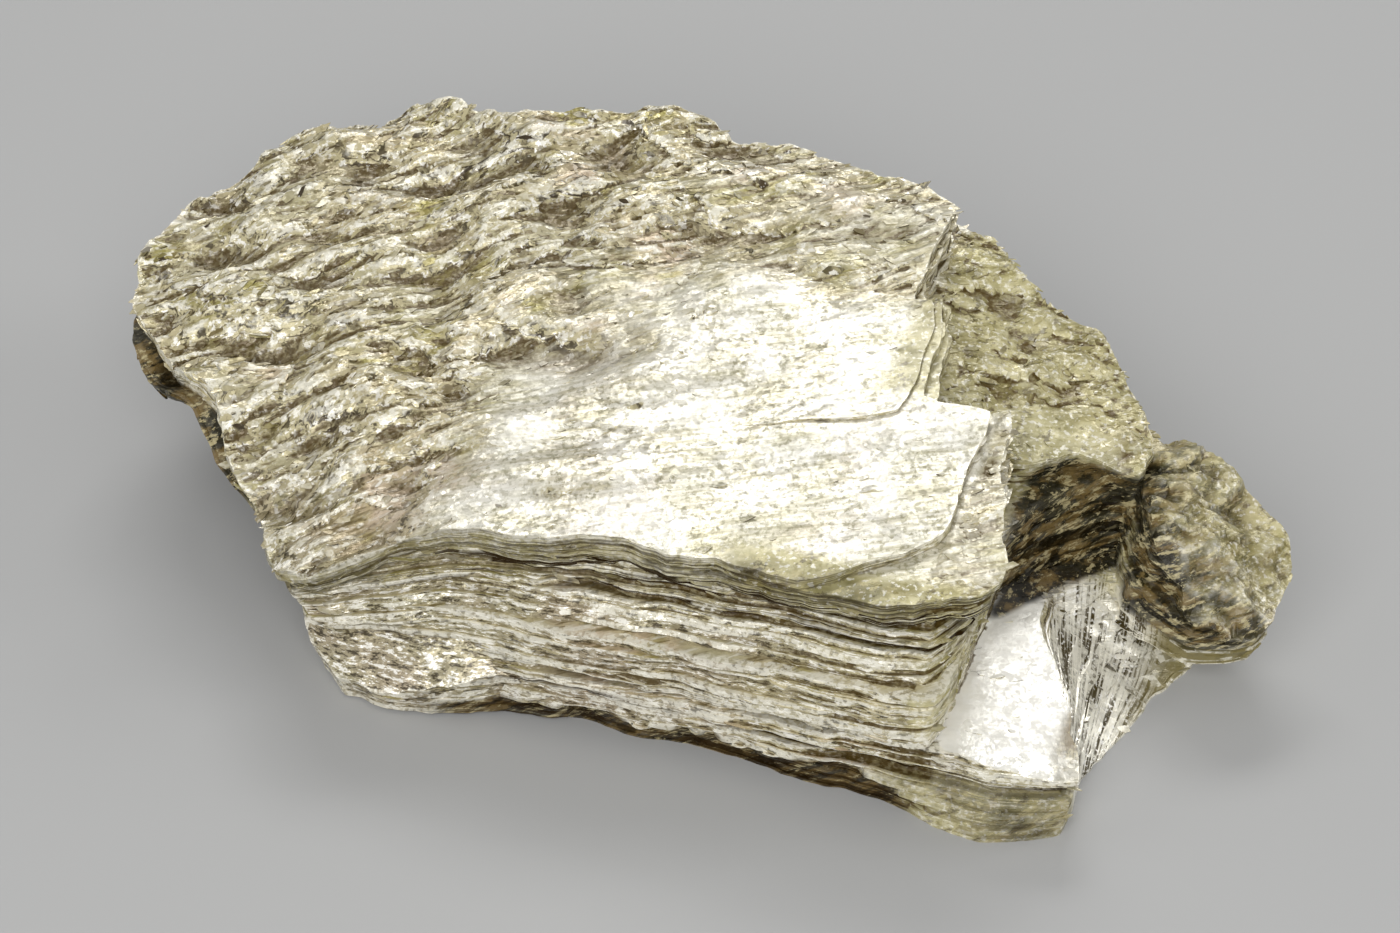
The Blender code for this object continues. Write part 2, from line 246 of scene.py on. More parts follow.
def column(name, brow, foot, span, ledges, seed, jag=0.6, jut=0.8, sheets=0.5, cracks=0.6,
           fall=0, fall_from=0, lamination=0.5, breaks=None):
    """The side of a group of sheets, as a closed column that reaches past both its ends.

    Each packet of sheets has its own ring of points below and above its edge, so the side
    is broken into steps where lamination is 1 and into one plain face where it is 0. How far
    a packet stands out changes slowly along it, in thick groups and in thin ones.
    breaks adds recesses, and fall sinks the upper packets as it does the book's top.
    """
    brows, feet = resampled(brow, foot)
    out = outwards(brows)
    x, y = brows.T
    calm = 1 - 0.8 * ramp(x, 30, 33) * ramp(-y, 0, 3)  # the ledge's edge is even
    ragged = jag * (bumps(x, y, 6, seed) + 0.3 * bumps(x, y, 1.5, seed + 9)) * calm
    full = float(np.mean(sheet_height(x, y)))
    count = max(2, round((span[1] - span[0]) * full / SHEET))
    pick = random.Random(round(seed * 10))
    edges = np.cumsum([0] + [pick.choice(PACKETS) for _ in range(count)])
    edges = edges / edges[-1]
    past = COLUMN_PAST / full
    rings = []
    for k in range(count):
        low = edges[k] if k else -past
        high = edges[k + 1] if k < count - 1 else 1 + past
        middle = (edges[k] + edges[k + 1]) / 2
        x, y = (feet + (brows - feet) * middle).T
        share = span[0] + (span[1] - span[0]) * middle
        loose = lamination(x, y, share) if callable(lamination) else np.full(len(x), lamination)
        ledge = min(ledges - 1, int(middle * ledges))
        level = share * full
        push = jut * bumps(x, y, 16, seed + 3.7 * ledge)
        push += loose * sheets * 1.6 * bumps(x, y, 26, level / 2.2 + seed)
        push += loose * sheets * 1.3 * bumps(x, y, 18, level / 0.75 + seed)
        push += loose * sheets * 0.4 * bumps(x, y, 6, seed + 5.1 * k)
        push += 0.1 * bumps(x, y, 1.1, seed + 1.7 * k)
        push -= loose * cracks * 4 * np.clip(bumps(x, y, 24, seed + 2.9 * k) - 0.25, 0, 1)
        push *= calm
        if breaks:
            push += breaks(x, y, share)
        for way in (low, high):
            held = np.clip(way, 0, 1) * (1 - loose) + middle * loose
            at = feet + (brows - feet) * held[:, None] + out * (push + ragged)[:, None]
            z = (span[0] + (span[1] - span[0]) * way) * sheet_height(at[:, 0], at[:, 1])
            z = z - np.clip(way, 0, 1) * sunk(at[:, 0], fall, fall_from)
            rings.append(np.column_stack([at, z]))
    bottom, top = rings[0].copy(), rings[-1].copy()
    bottom[:, 2], top[:, 2] = BELOW_ALL, ABOVE_ALL
    return stacked(name, [bottom, *rings, top])


def sunk(x, fall, fall_from):
    """How far a cleavage face lies below the book's own, which it leaves at fall_from along X."""
    return np.clip((x - fall_from) * fall, 0, None)


def stacked(name, rings):
    """A closed column through rings of points, alike in number, from the bottom up."""
    n = len(rings[0])
    last = (len(rings) - 1) * n
    under, over = len(rings) * n, len(rings) * n + 1
    pairs = [(i, (i + 1) % n) for i in range(n)]
    faces = [(a + i, a + j, a + n + j, a + n + i) for a in range(0, last, n) for i, j in pairs]
    for i, j in pairs:
        faces += [(j, i, under), (last + i, last + j, over)]
    ends = [rings[0].mean(axis=0), rings[-1].mean(axis=0)]
    return solid(name, np.concatenate([*rings, ends]), faces)


def solid(name, points, faces):
    """An object from plain points and faces."""
    data = bpy.data.meshes.new(name)
    data.from_pydata([tuple(p) for p in points], [], faces)
    piece = bpy.data.objects.new(name, data)
    bpy.context.scene.collection.objects.link(piece)
    return piece


def slab(name, outline, top, bottom, grid=GRID):
    """A block with one modelled surface above and another below, both fields over the plan."""
    outline = np.array(outline, float)
    low, high = outline.min(axis=0) - SLAB_MARGIN, outline.max(axis=0) + SLAB_MARGIN

    def surface(step, field):
        columns, rows = (round(side / step) + 1 for side in high - low)
        x, y = np.meshgrid(np.linspace(low[0], high[0], columns), np.linspace(low[1], high[1], rows))
        shake = random.Random(columns * rows)
        loose = np.array([shake.uniform(-0.3, 0.3) for _ in range(2 * x.size)]).reshape(2, *x.shape)
        loose[:, [0, -1], :] = 0
        loose[:, :, [0, -1]] = 0
        x, y = x + loose[0] * step, y + loose[1] * step
        return np.stack([x, y, field(x, y)], axis=-1)

    points, faces, rims = [], [], []
    for at, faces_up in ((surface(grid, top), True), (surface(UNDER_GRID, bottom), False)):
        rows, columns = at.shape[:2]
        first = len(points)
        points += [*at.reshape(-1, 3)]
        for r in range(rows - 1):
            for c in range(columns - 1):
                a = first + r * columns + c
                b, d = a + 1, a + columns
                one, two = (a, b, d + 1), (a, d + 1, d)
                if (r + c) % 2:
                    one, two = (a, b, d), (b, d + 1, d)
                faces += [one, two] if faces_up else [one[::-1], two[::-1]]
        ids = first + np.arange(rows * columns).reshape(rows, columns)
        rims.append((ids[0, :], ids[:, -1], ids[-1, ::-1], ids[::-1, 0]))
    for over, beneath in zip(*rims):
        faces.append(tuple(int(v) for v in [*beneath, *over[::-1]]))
    return solid(name, points, faces)


def combine(target, operation, others):
    """Joins, cuts or intersects closed pieces, and leaves one plain mesh."""
    for other in others:
        step = target.modifiers.new(other.name, "BOOLEAN")
        step.operation = operation
        step.solver = "MANIFOLD"
        step.object = other
    graph = bpy.context.evaluated_depsgraph_get()
    made = bpy.data.meshes.new_from_object(target.evaluated_get(graph))
    target.modifiers.clear()
    old = target.data
    target.data = made
    bpy.data.meshes.remove(old)
    for other in others:
        gone = other.data
        bpy.data.objects.remove(other)
        bpy.data.meshes.remove(gone)
    return target


def book(name, brow, foot, span, ledges, seed, top=None, grid=GRID, fall=0, fall_from=0,
         **side):
    """A group of sheets: its broken side, cut off by its upper and lower cleavage faces."""

    def above(x, y):
        z = span[1] * sheet_height(x, y) - sunk(x, fall, fall_from)
        return z + (top(x, y) if top else 0)

    def below(x, y):
        z = span[0] * sheet_height(x, y)
        return z if span[0] == 0 else z + 0.25 * bumps(x, y, 3, seed)

    piece = column(name, brow, foot, span, ledges, seed, fall=fall, fall_from=fall_from, **side)
    return combine(piece, "INTERSECT", [slab(name + "_slab", brow, above, below, grid)])


def sweep(data):
    """Drops the crumbs of a few faces that the cuts leave loose."""
    mesh = bmesh.new()
    mesh.from_mesh(data)
    left = set(mesh.verts)
    while left:
        island = [left.pop()]
        for point in island:
            near = left.intersection(edge.other_vert(point) for edge in point.link_edges)
            left -= near
            island += near
        if len(island) < CRUMB_POINTS:
            bmesh.ops.delete(mesh, geom=island, context="VERTS")
    mesh.to_mesh(data)
    mesh.free()


# ---- cleavage faces


def crumpled(x, y):
    """How crumpled the crown is, from 0 on the smooth cleavage to 1 on the left."""
    wander = 3 * bumps(x, y, 9, 41)
    smooth = ramp(x + wander, -24, -12) * ramp(-y + wander, -17, -11)
    smooth = smooth * (1 - 0.45 * ramp(-x + wander, -2, 14) * ramp(y, -4, 6))
    rough = 1 - smooth * 0.95 - (1 - smooth) * 0.35 * ramp(x, -15, 5)
    return np.maximum(rough, 0.5 * ramp(x, 24.8, 26.2))


def grain(x, y):
    """The direction, in plan and radians, that the creases of the crown run in."""
    turn = 20 + 30 * ramp(-x, 8, 40) + 20 * ramp(y, 8, 28) * ramp(-x, 12, 34)
    return np.radians(turn + 34 * bumps(x, y, 17, 43))


def leaves(x, y, count, sizes, seed, region, plump=(0.3, 0.75), lifts=(0.25, 0.95)):
    """Heights of overlapping leaf-like remnants of sheets, each raised along its front edge."""
    height = np.zeros_like(x)
    pick = random.Random(seed)
    left, front, right, back = region
    for _ in range(count):
        cx, cy = pick.uniform(left, right), pick.uniform(front, back)
        length = sizes[0] * (sizes[1] / sizes[0]) ** pick.random()
        width = length * pick.uniform(*plump)
        skew, lift = pick.gauss(0, 22), pick.uniform(*lifts) * min(1, length / 5)
        phase = pick.uniform(0, 100)
        near = (abs(x - cx) < 0.65 * length) & (abs(y - cy) < 0.65 * length)
        if not near.any():
            continue
        way = float(grain(np.float64(cx), np.float64(cy))) + math.radians(skew)
        dx, dy = x[near] - cx, y[near] - cy
        u = (dx * math.cos(way) + dy * math.sin(way)) / (length / 2)
        v = (-dx * math.sin(way) + dy * math.cos(way)) / (width / 2)
        edge = 0.95 + 0.5 * waves(u * 1.3 + phase, v * 1.3, phase)
        edge = edge + 0.2 * waves(u * 4 + phase, v * 4, phase)
        leaf = lift * (0.62 - 0.5 * v) * (1 - 0.35 * u * u)
        leaf = np.where(u * u + v * v < edge, leaf, 0)
        local = height[near]
        height[near] = np.where(leaf > 0.03, np.maximum(local * 0.55 + leaf * 0.75, leaf), local)
    return height


def crease_lines(x, y):
    """Where a point lies along and across the creases of the crown, in millimetres."""
    turn = np.radians(36)
    bend = 3 * bumps(x, y, 13, 45)
    return x * np.cos(turn) + y * np.sin(turn) + bend, y * np.cos(turn) - x * np.sin(turn) + bend


def crown_detail(x, y):
    """Leaf-like remnants of sheets, creases and fine crinkles of the crumpled crown."""
    rough = crumpled(x, y)
    along, across = crease_lines(x, y)
    height = leaves(x, y, 620, (2, 11), 77, (-58, -26, 30, 38), lifts=(0.1, 0.5))
    pockets = 1.6 * waves(x / 8, y / 5, 47) + 0.6 * waves(along / 4.5, across / 2.2, 48)
    creases = 1 - abs(waves(along / 5, across / 1.1, 12)) * 2
    fine = 1 - abs(waves(along / 2.4, across / 0.6, 19)) * 2
    height = rough * (height + pockets + 0.24 * creases + 0.12 * fine - 0.35)
    swell = 0.1 * bumps(x, y, 4.5, 25) + 0.04 * waves(along / 7, across / 0.8, 23)
    torn = leaves(x, y, 90, (5, 15), 79, (-30, -20, 4, 14), (0.3, 0.6), (0.1, 0.28))
    swell = swell + torn * ramp(-x, -8, 6) * ramp(-y, -14, -8)
    return height + (1 - rough) * swell - 0.6 * ramp(y, 24, 34)


def facet(x, y):
    """1 on the one smooth facet of the shoulder, by the hollow, and 0 away from it."""
    return ramp(-np.hypot(x - 30.5, (y - 7.5) * 1.2), -6.5, -3.5)


def shoulder_detail(x, y):
    """The shoulder is flaky, and crumbly towards its back."""
    rough = 1 - 0.9 * facet(x, y)
    back = ramp(x + y, 32, 44)
    bits = leaves(x, y, 230, (2, 9), 91, (10, 0, 40, 32), (0.4, 0.9), (0.25, 0.85))
    lumps = (0.4 + 0.7 * back) * bumps(x, y, 4, 51) + 0.1 * bumps(x, y, 0.9, 53)
    return rough * (bits + lumps - 0.3)


def lobe_detail(x, y):
    """The lobe is lumpy and crumbly all over, and falls away at its tip."""
    bits = leaves(x, y, 190, (1.2, 6), 93, (32, -6, 53, 16), (0.3, 0.7), (0.4, 1.1))
    lumps = 1.7 * bumps(x, y, 5, 61) + 0.8 * waves(x / 2.2, y / 1.4, 65)
    rounded = 0.3 * np.clip(6 - y, 0, None) ** 1.3 + 0.2 * np.clip(41 - x, 0, None) ** 1.3
    return bits + lumps + 0.3 - 0.045 * np.clip(x - 43, 0, None) ** 2 - rounded


def ledge_detail(x, y):
    """The ledge is one smooth cleavage face, tipped a little outwards, with faint steps."""
    return -0.1 * np.clip(x - 25.5, 0, 16) + 0.04 * waves(x / 5, y / 1, 71)


def nodule_detail(x, y):
    """The lump at the front left slopes steeply down to the front in one plain face."""
    slope = 1.1 * np.clip(-21.8 - y, 0, None) + 0.1 * np.clip(x + 16, 0, None) ** 1.5
    slope = slope + 0.05 * np.clip(-22 - x, 0, None) ** 2
    return 0.2 - slope + 0.5 * bumps(x, y, 4.5, 73) + 0.08 * bumps(x, y, 1, 74)


def on_front(y):
    """1 on the long laminated front and 0 behind it."""
    return ramp(-y, 12, 17)


def front_lamination(x, y, share):
    """The front is broken across in plain faces on the left, and frays out on the right."""
    front = on_front(y)
    plain = 0.4 + 0.6 * ramp(-x, -18, 2)
    upper_face = ramp(share, 0.44, 0.48) * ramp(-share, -0.74, -0.68)
    lower_face = ramp(share, 0.07, 0.1) * ramp(-share, -0.42, -0.38)
    loose = 0.5 - front * (0.12 + 0.34 * plain * np.maximum(upper_face, 0.8 * lower_face))
    loose = loose * (1 - 0.8 * ramp(x, 18, 24) * ramp(-share, -0.18, -0.14))
    return loose * (1 - 0.85 * ramp(x, 25, 27) * ramp(y, -19.5, -17))


def long_cracks(x, y):
    """The shares at which the front's two long cracks lie; the lower one runs out over the toe."""
    high = 0.42 - 0.09 * ramp(x, -24, 22) + 0.018 * bumps(x, y, 8, 77)
    low = 0.28 - 0.07 * ramp(x, -6, 24) + 0.014 * bumps(x, y, 8, 85)
    return high, low


def front_cracks(x, y, share):
    """How much a place on the front lies in one of its cracks, which cross the sheets a little."""
    high, low = long_cracks(x, y)
    found = 0
    for middle, wide, depth, start, gaps in (
        (high, 0.014, 1, -28, 0.5), (low, 0.016 + 0.012 * ramp(x, 14, 24), 1.1, -12, 0.1),
        (0.735, 0.014, 0.8, -16, 1), (0.645, 0.013, 0.6, 4, 1), (0.57, 0.013, 0.5, -6, 1),
    ):
        wander = 0.018 * bumps(x, y, 8, 77 * depth)
        near = np.exp(-(((share - middle - wander * (depth < 1)) / wide) ** 2))
        broken = 1 - gaps * 0.85 * ramp(-waves(x / 6, 3.3, 91 * depth), -0.05, 0.35)
        found = np.maximum(found, depth * near * broken * ramp(x, start, start + 8))
    return found * ramp(-y, 14, 18) * (1 - 0.8 * ramp(x, 24.5, 27) * ramp(share, 0.34, 0.38))


def front_breaks(x, y, share):
    """Recesses under the crown, in the cracks and along the bottom, and the fan's ridges."""
    under_crown = -0.7 * ramp(share, 0.74, 0.79)
    bottom = -1.8 * undercut(x, share) * (1 + 0.6 * bumps(x, y, 7, 33))
    return on_front(y) * (under_crown + bottom) - 1.3 * front_cracks(x, y, share) + fan(x, y)


def undercut(x, share):
    """1 in the uneven recess along the front's bottom edge, left of the toe."""
    level = 0.12 + 0.06 * waves(x / 6, 1.7, 35) + 0.02 * waves(x / 1.7, 1.7, 36)
    return ramp(level - share, -0.02, 0.015) * ramp(x, -18, -11) * ramp(-x, -29, -23)


def rays(x, y):
    """Distance and direction from the base's right front corner, where the fan starts."""
    return np.hypot(x - 39, y + 21), np.arctan2(39 - x, y + 21)


def fan(x, y):
    """Ridges that spread from the corner over the base's sloping right side."""
    away, turn = rays(x, y)
    ridges = waves(turn * 14, away / 16, 81) + 0.6 * waves(turn * 34, away / 12, 82)
    return 0.5 * ridges * ramp(x, 31, 35) * ramp(y, -19, -15) * ramp(-y, -12, -8)


def facets(data):
    """Cleavage and breaks keep hard edges; everything is shaded smooth between them."""
    data.polygons.foreach_set("use_smooth", [True] * len(data.polygons))
    data.set_sharp_from_angle(angle=SHARP)


def rows_of(items, field):
    """A field of vectors of a mesh's points, as an array with three columns."""
    found = np.empty(len(items) * 3)
    items.foreach_get(field, found)
    return found.reshape(-1, 3)


def dents(data, co, normal):
    """How far each point lies in a narrow dent, and in a wide one (hollow)."""
    n = len(co)
    ends = np.empty(len(data.edges) * 2, dtype=np.int64)
    data.edges.foreach_get("vertices", ends)
    a, b = ends[0::2], ends[1::2]
    degree = np.bincount(ends, minlength=n).clip(1)
    eased = co.copy()
    done = 0
    found = {}
    for name, passes in (("dent", 5), ("hollow", 45)):
        while done < passes:
            total = np.stack([
                np.bincount(a, eased[b, c], n) + np.bincount(b, eased[a, c], n) for c in range(3)
            ], axis=1)
            eased = total / degree[:, None]
            done += 1
        found[name] = ((eased - co) * normal).sum(axis=1)
    return found


def describe(data, crumple, open_to_air):
    """Stores on every point what the material and the flakes need to know of the place.

    Lengths are in millimetres: dent and hollow are how far the point lies in a narrow and in
    a wide dent, sheet is its level in the book, high_crack and low_crack how far it lies above
    the front's long cracks, creased its place along and across the creases, and rays its place
    along and across the rays of the fan. way is the direction of the creases. The others run
    from 0 to about 1: flakes lie where it is flaky and stick out where it is loose.
    """
    co = rows_of(data.vertices, "co")
    normal = rows_of(data.vertex_normals, "vector")
    x, y, z = co.T
    share = z / sheet_height(x, y).clip(5)
    front = on_front(y)
    side = ramp(-normal[:, 2], -0.85, -0.55)
    faces = ramp(share, 0.44, 0.48) * ramp(-share, -0.7, -0.66) * ramp(-x, -24, -8)
    faces = np.maximum(faces, ramp(share, 0.07, 0.1) * ramp(-share, -0.38, -0.34) * ramp(-x, -16, -4))
    lobe = ramp(x, 35.5, 38) * ramp(z, 5, 7)
    lamina = (1 - front * (0.3 + 0.3 * ramp(-x, -8, 12) + 0.6 * faces)) * (1 - 0.85 * lobe)
    lamina = np.clip(lamina, 0.1, 1)
    ledge = ramp(x, 26, 27) * ramp(-y, -1, 2) * ramp(share, 0.27, 0.3) * ramp(-share, -0.42, -0.38)

    # Painted shade: the hollow, the underside of the left rim, the lobe's lower inner side and its faces
    # turned down, and the undercut along the bottom; the toe and a strip along the crown's front brow on
    # the right are darker in tone
    behind_rib = 0.62 * (y + 1) - 0.78 * (x - 31)
    cavity = ramp(x, 26.5, 28.5) * ramp(-x, -41, -38) * ramp(behind_rib, -1, 0.6)
    cavity = cavity * ramp(-y, -13, -9) * ramp(-z, -16.5, -14.5)
    rim = ramp(-x, 30, 40) * ramp(-share, -0.95, -0.88)
    outer = 0.6 * (x - 36) / 14 + 0.4 * (y + 3) / 12
    lobe = lobe * np.clip(1.1 - 1.1 * outer + 0.3 * side, 0.1, 1)
    bottom = front * undercut(x, share)
    toe = ramp(x, 18, 26) * ramp(-y, 16, 19) * ramp(-share, -0.24, -0.18)
    strip = 0.4 * ramp(x, 4, 12) * ramp(-y, 16.5, 18.5) * ramp(share, 0.84, 0.88)
    # Painted shade in the recess under the crown and in the front's cracks
    under_crown = front * ramp(share, 0.68, 0.74) * (0.6 + 0.4 * ramp(-share, -0.9, -0.84))
    under_crown = under_crown * (0.55 + 0.45 * ramp(x, -22, -8))
    cracks = side * front_cracks(x, y, share) ** 2.5
    high, low = long_cracks(x, y)

    # Olive places
    right = ramp(x, 13.5, 16) * ramp(y, 1, 4)
    corner = 1.3 * ramp(x, 24, 26) * side * ramp(-y, 4, 7) * ramp(share, 0.38, 0.44)
    brow = 1.3 * ramp(x, 4, 12) * ramp(-y, 15.5, 18) * ramp(share, 0.84, 0.88)
    lip = 0.8 * front * side * ramp(share, 0.72, 0.8)
    tip = 0.8 * ramp(x, 40, 44) * ramp(share, 0.3, 0.4)

    rough = crumple(x, y)
    found = dents(data, co, normal)
    found.update(
        sheet=share * FRONT_HEIGHT,
        crumple=rough,
        flaky=rough * open_to_air(x),
        lamina=lamina,
        loose=lamina * ramp(z, 0.5, 0.9),
        # painted reflection: the ledge's up-facing cleavage is painted nearly white
        clean=ledge * ramp(normal[:, 2], 0.75, 0.9),
        # painted shade in the hollow, under the rim, on the lobe and in the undercut, and darker tone on
        # the toe and the brow strip
        shade=np.max([cavity, rim, lobe, bottom, 0.36 * toe, strip], axis=0),
        band=np.max([1.3 * side * under_crown, cracks, 0.8 * bottom], axis=0),
        high_crack=np.clip((share - high) * FRONT_HEIGHT, -2, 2),
        low_crack=np.clip((share - low) * FRONT_HEIGHT, -2, 2),
        cracked=side * ramp(-y, 15, 18) * ramp(x, -16, -6),
        olive=np.max([right, tip, corner, 0.9 * toe, brow, lip], axis=0),
        fan=ramp(x, 30, 31) * ramp(y, -20, -18.5) * ramp(-behind_rib, -1, 0.6)
        * (1 - ledge * ramp(normal[:, 2], 0.86, 0.95)) * ramp(-z, -8.5, -7),
    )
    for name, values in found.items():
        data.attributes.new(name, "FLOAT", "POINT").data.foreach_set("value", values)
    along, across = crease_lines(x, y)
    way = grain(x, y)
    away, turn = rays(x, y)
    for name, parts in (
        ("creased", (along, across, z)), ("way", (np.cos(way), np.sin(way), 0 * x)),
        ("rays", (away, 26 * turn, 0 * x)),
    ):
        made = data.attributes.new(name, "FLOAT_VECTOR", "POINT").data
        made.foreach_set("vector", np.stack(parts, axis=1).ravel())


def settle(piece):
    """Puts a finished piece in the part's frame, in metres."""
    co = rows_of(piece.data.vertices, "co")
    co[:, :2] -= PLAN_MIDDLE
    piece.data.vertices.foreach_set("co", (co * MM).ravel())
    piece.data.update()


# ---- loose flakes


def adders(tree):
    """Functions that add to a tree a node, a math node, a vector math node and a product."""

    def add(kind, inputs=(), output=0, **settings):
        return node(tree, kind, inputs, **settings).outputs[output]

    def math_of(kind, a, b=0):
        return add("ShaderNodeMath", {0: a, 1: b}, operation=kind)

    def vector_of(kind, a, b=(0, 0, 0), c=(0, 0, 0)):
        return add("ShaderNodeVectorMath", {0: a, 1: b, 2: c}, operation=kind)

    def times(first, *others):
        for other in others:
            first = math_of("MULTIPLY", first, other)
        return first

    return add, math_of, vector_of, times


def plates(tree):
    """Broken plates of several shapes, 1 long, 1 wide and 1 thick, to pick instances from."""
    add, _, vector_of, _ = adders(tree)
    shapes = node(tree, "GeometryNodeJoinGeometry")
    for k in range(PLATE_SHAPES):
        plate = add("GeometryNodeMeshCylinder", {"Vertices": 6 + k % 3, "Radius": 0.5, "Depth": 1})
        place = add("GeometryNodeInputPosition")
        flat = vector_of("MULTIPLY_ADD", place, (1.7, 1.7, 0), (9.1 * k, 3.3, 0))
        rough = add("ShaderNodeTexNoise", {"Vector": flat, "Scale": 1}, "Color")
        shift = vector_of("MULTIPLY_ADD", rough, (1.1, 1.1, 0), (-0.55, -0.55, 0))
        moved = add("GeometryNodeSetPosition", {"Geometry": plate, "Offset": shift})
        tree.links.new(add("GeometryNodeGeometryToInstance", {0: moved}), shapes.inputs[0])
    return shapes.outputs[0]


def flake_nodes(name, on_side):
    """Geometry nodes that set thin broken plates on a surface, more where it is crumpled.

    On a cleavage face they lie nearly flat on it, long side along the creases. On a broken
    side they lie in the plane of the sheets and stick out between them. Density is how many
    there are on a square millimetre.
    """
    tree = bpy.data.node_groups.new(name, "GeometryNodeTree")
    measures = ("Density", "Shortest mm", "Longest mm", "Slimness", "Lean", "Turn")
    for label, kind in (
        ("Surface", "Geometry"), *((label, "Float") for label in measures),
        ("Seed", "Int"), ("Material", "Material"),
    ):
        tree.interface.new_socket(label, in_out="INPUT", socket_type="NodeSocket" + kind)
    tree.interface.new_socket("Flakes", in_out="OUTPUT", socket_type="NodeSocketGeometry")
    given = node(tree, "NodeGroupInput").outputs
    add, math_of, vector_of, times = adders(tree)

    def stored(label, kind="FLOAT"):
        return add("GeometryNodeInputNamedAttribute", {"Name": label}, data_type=kind)

    def chance(low, high, offset):
        seed = math_of("ADD", given["Seed"], offset)
        return add("FunctionNodeRandomValue", {2: low, 3: high, "Seed": seed}, 1, data_type="FLOAT")

    level = add("ShaderNodeSeparateXYZ", {0: add("GeometryNodeInputNormal")}, "Z")
    if on_side:
        level = math_of("ABSOLUTE", level)
    hidden, open_face = (0.75, 0.35) if on_side else (0.6, 0.85)
    facing = add("ShaderNodeMapRange", {
        "Value": level, "From Min": hidden, "From Max": open_face,
    }, "Result")
    density = times(given["Density"], facing, stored("loose" if on_side else "flaky"))
    spread = node(tree, "GeometryNodeDistributePointsOnFaces", {
        "Mesh": given["Surface"], "Density": density, "Seed": given["Seed"],
    }, distribute_method="RANDOM").outputs
    glint = chance(-0.06, 0.04, 1)
    points = add("GeometryNodeStoreNamedAttribute", {
        "Geometry": spread["Points"], "Name": "dent", "Value": glint,
    }, data_type="FLOAT", domain="POINT")

    if on_side:
        flat_way = (0.05, -0.08, 1)
        long_way = vector_of("CROSS_PRODUCT", spread["Normal"], (0, 0, 1))
    else:
        flat_way = spread["Normal"]
        long_way = stored("way", "FLOAT_VECTOR")
    turned = add("FunctionNodeAlignRotationToVector", {"Vector": flat_way}, axis="Z")
    turned = add("FunctionNodeAlignRotationToVector", {
        "Rotation": turned, "Vector": long_way,
    }, axis="X", pivot_axis="Z")
    lean = [times(chance(-1, 1, 2 + k), given["Lean"]) for k in range(2)]
    turn = times(chance(-1, 1, 4), given["Turn"])
    loose = add("ShaderNodeCombineXYZ", {0: lean[0], 1: lean[1], 2: turn})
    loose = add("FunctionNodeEulerToRotation", {0: loose})
    turned = add("FunctionNodeRotateRotation", {
        "Rotation": turned, "Rotate By": loose,
    }, rotation_space="LOCAL")
    ratio = math_of("DIVIDE", given["Longest mm"], given["Shortest mm"])
    length = times(math_of("POWER", ratio, chance(0, 1, 5)), given["Shortest mm"])
    width = times(length, times(given["Slimness"], chance(0.6, 1.4, 6)))
    size = add("ShaderNodeCombineXYZ", {0: length, 1: width, 2: FLAKE_THICKNESS})
    pick = add("FunctionNodeRandomValue", {
        4: 0, 5: PLATE_SHAPES - 1, "Seed": given["Seed"],
    }, 2, data_type="INT")
    placed = add("GeometryNodeInstanceOnPoints", {
        "Points": points, "Instance": plates(tree), "Pick Instance": True,
        "Instance Index": pick, "Rotation": turned, "Scale": size,
    })
    real = add("GeometryNodeRealizeInstances", {0: placed})
    done = add("GeometryNodeSetMaterial", {"Geometry": real, "Material": given["Material"]})
    node(tree, "NodeGroupOutput", {0: done})
    return tree


def flakes(name, piece, tree, material, **values):
    """The flakes that a tree of flake_nodes sets on a piece, as a piece of their own."""
    made = bpy.data.objects.new(name, piece.data)
    bpy.context.scene.collection.objects.link(made)
    step = made.modifiers.new(name, "NODES")
    step.node_group = tree
    values = {"Material": material, **{k.replace("_", " "): v for k, v in values.items()}}
    for item in tree.interface.items_tree:
        if item.in_out == "INPUT" and item.name in values:
            step[item.identifier] = values[item.name]
    graph = bpy.context.evaluated_depsgraph_get()
    mesh = bpy.data.meshes.new_from_object(made.evaluated_get(graph))
    made.modifiers.clear()
    made.data = mesh
    return made


# ---- materials


def linear(hexed):
    """An sRGB hex colour as linear red, green, blue and alpha."""
    parts = [int(hexed[k:k + 2], 16) / 255 for k in (1, 3, 5)]
    return (*[c / 12.92 if c <= 0.04045 else ((c + 0.055) / 1.055) ** 2.4 for c in parts], 1)


def node(tree, kind, inputs=(), **settings):
    """Adds a node, sets its properties, and links or fills its inputs."""
    made = tree.nodes.new(kind)
    for name, value in settings.items():
        setattr(made, name, value)
    for name, value in dict(inputs).items():
        if isinstance(value, bpy.types.NodeSocket):
            tree.links.new(value, made.inputs[name])
        else:
            made.inputs[name].default_value = value
    return made


